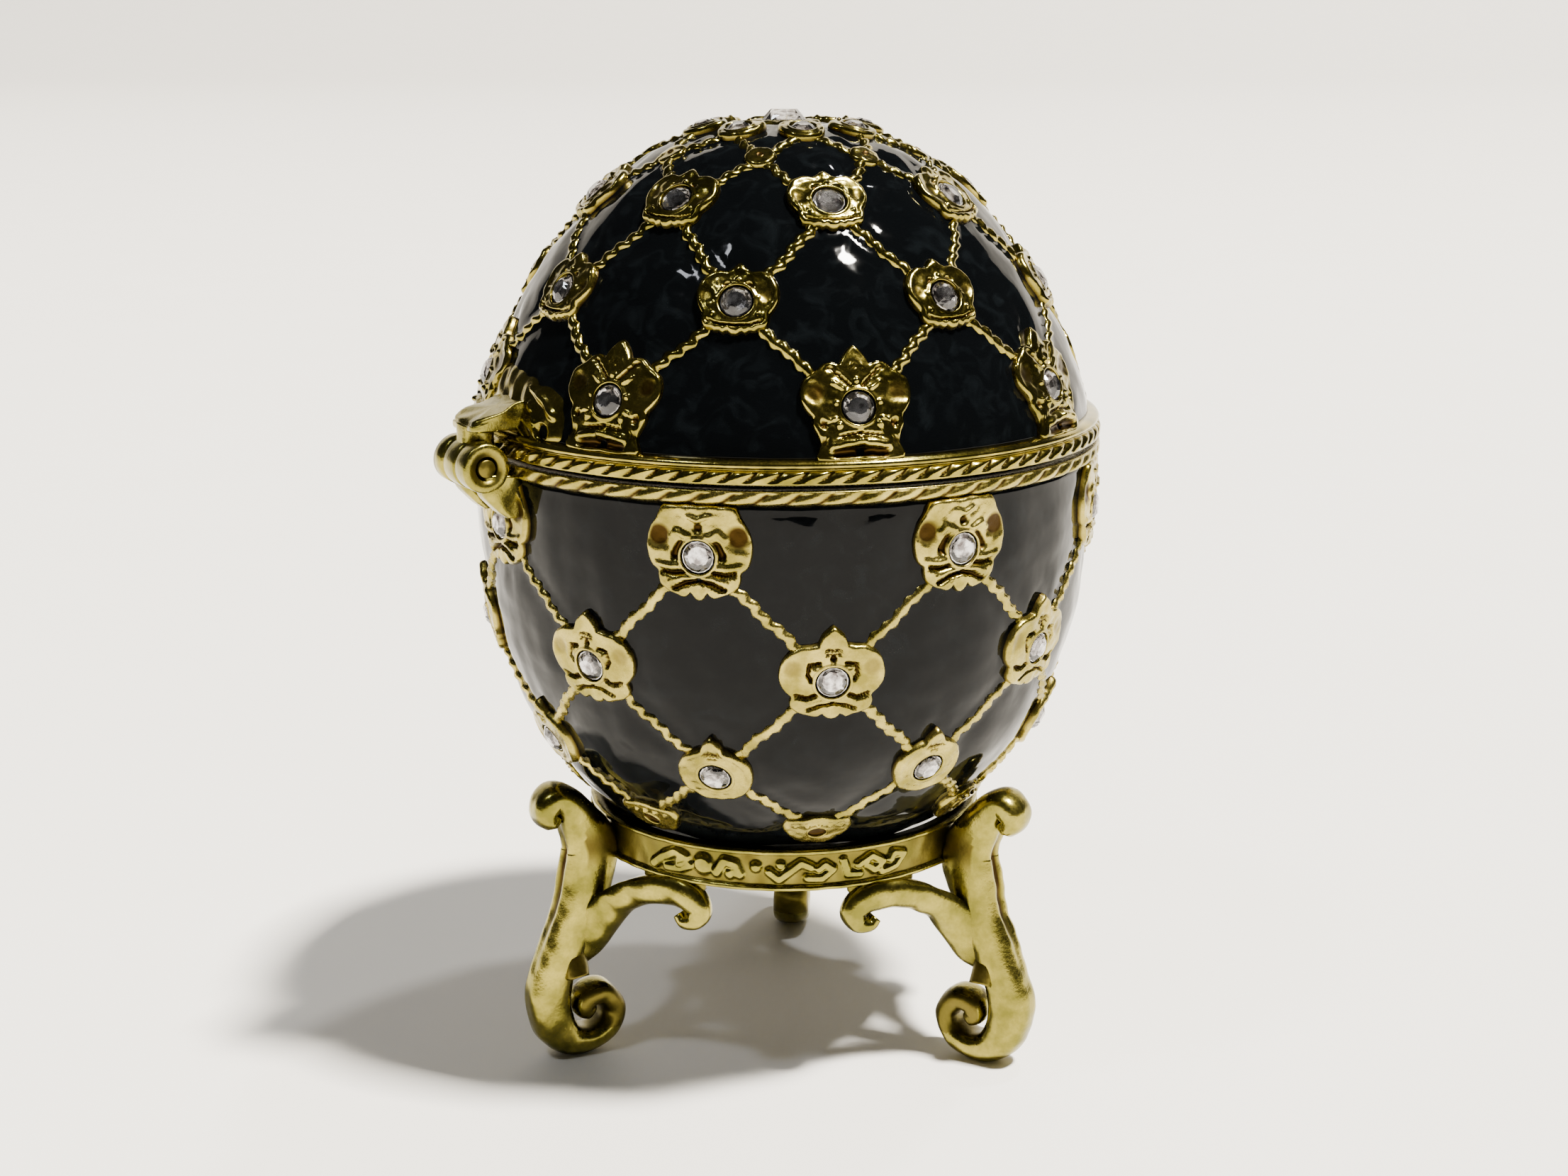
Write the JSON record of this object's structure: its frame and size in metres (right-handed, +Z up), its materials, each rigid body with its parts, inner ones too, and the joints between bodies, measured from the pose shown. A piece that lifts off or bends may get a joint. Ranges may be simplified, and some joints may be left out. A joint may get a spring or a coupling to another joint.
{
  "type": "jewelled egg trinket box",
  "caption": "Hinged egg-shaped trinket box in black enamel and gold-tone casting, set with clear stones, on a scroll-legged stand.",
  "frame": {"origin": "on the surface it stands on, below the centre of the three feet and of the egg", "axes": "+Z up along the egg's axis, -Y towards the gap between the two front legs, +X to the right"},
  "size_m": [0.0416, 0.041, 0.0613],
  "materials": {
    "gold_tone_casting": "polished pale gold plating on a casting, brown in its hollows",
    "black_enamel": "glossy black enamel in the cells of a gold-plated casting",
    "clear_stone": "clear cut glass with a foil back"
  },
  "bodies": {
    "base": {"stand": "gold_tone_casting", "egg_base": "black_enamel", "hinge_pin": "gold_tone_casting", "base_stone_1_1": "clear_stone", "base_stone_1_2": "clear_stone", "base_stone_1_3": "clear_stone", "base_stone_1_4": "clear_stone", "base_stone_1_5": "clear_stone", "base_stone_1_6": "clear_stone", "base_stone_1_7": "clear_stone", "base_stone_1_8": "clear_stone", "base_stone_2_1": "clear_stone", "base_stone_2_2": "clear_stone", "base_stone_2_3": "clear_stone", "base_stone_2_4": "clear_stone", "base_stone_2_5": "clear_stone", "base_stone_2_6": "clear_stone", "base_stone_2_7": "clear_stone", "base_stone_2_8": "clear_stone", "base_stone_3_1": "clear_stone", "base_stone_3_2": "clear_stone", "base_stone_3_3": "clear_stone", "base_stone_3_4": "clear_stone", "base_stone_3_5": "clear_stone", "base_stone_3_6": "clear_stone", "base_stone_3_7": "clear_stone", "base_stone_3_8": "clear_stone"},
    "lid": {"egg_lid": "black_enamel", "lid_stone_1_1": "clear_stone", "lid_stone_1_2": "clear_stone", "lid_stone_1_3": "clear_stone", "lid_stone_1_4": "clear_stone", "lid_stone_1_5": "clear_stone", "lid_stone_1_6": "clear_stone", "lid_stone_1_7": "clear_stone", "lid_stone_1_8": "clear_stone", "lid_stone_2_1": "clear_stone", "lid_stone_2_2": "clear_stone", "lid_stone_2_3": "clear_stone", "lid_stone_2_4": "clear_stone", "lid_stone_2_5": "clear_stone", "lid_stone_2_6": "clear_stone", "lid_stone_2_7": "clear_stone", "lid_stone_2_8": "clear_stone", "lid_stone_3_1": "clear_stone", "lid_stone_3_2": "clear_stone", "lid_stone_3_3": "clear_stone", "lid_stone_3_4": "clear_stone", "lid_stone_3_5": "clear_stone", "lid_stone_3_6": "clear_stone", "lid_stone_3_7": "clear_stone", "lid_stone_3_8": "clear_stone", "crown_stone": "clear_stone"}
  },
  "joints": [
    {"name": "lid_hinge", "type": "hinge", "parent": "base", "child": "lid", "pos_m": [-0.01846, -0.01208, 0.0404], "axis": [0.5476, -0.8368, 0], "range_deg": [0, 100]}
  ]
}
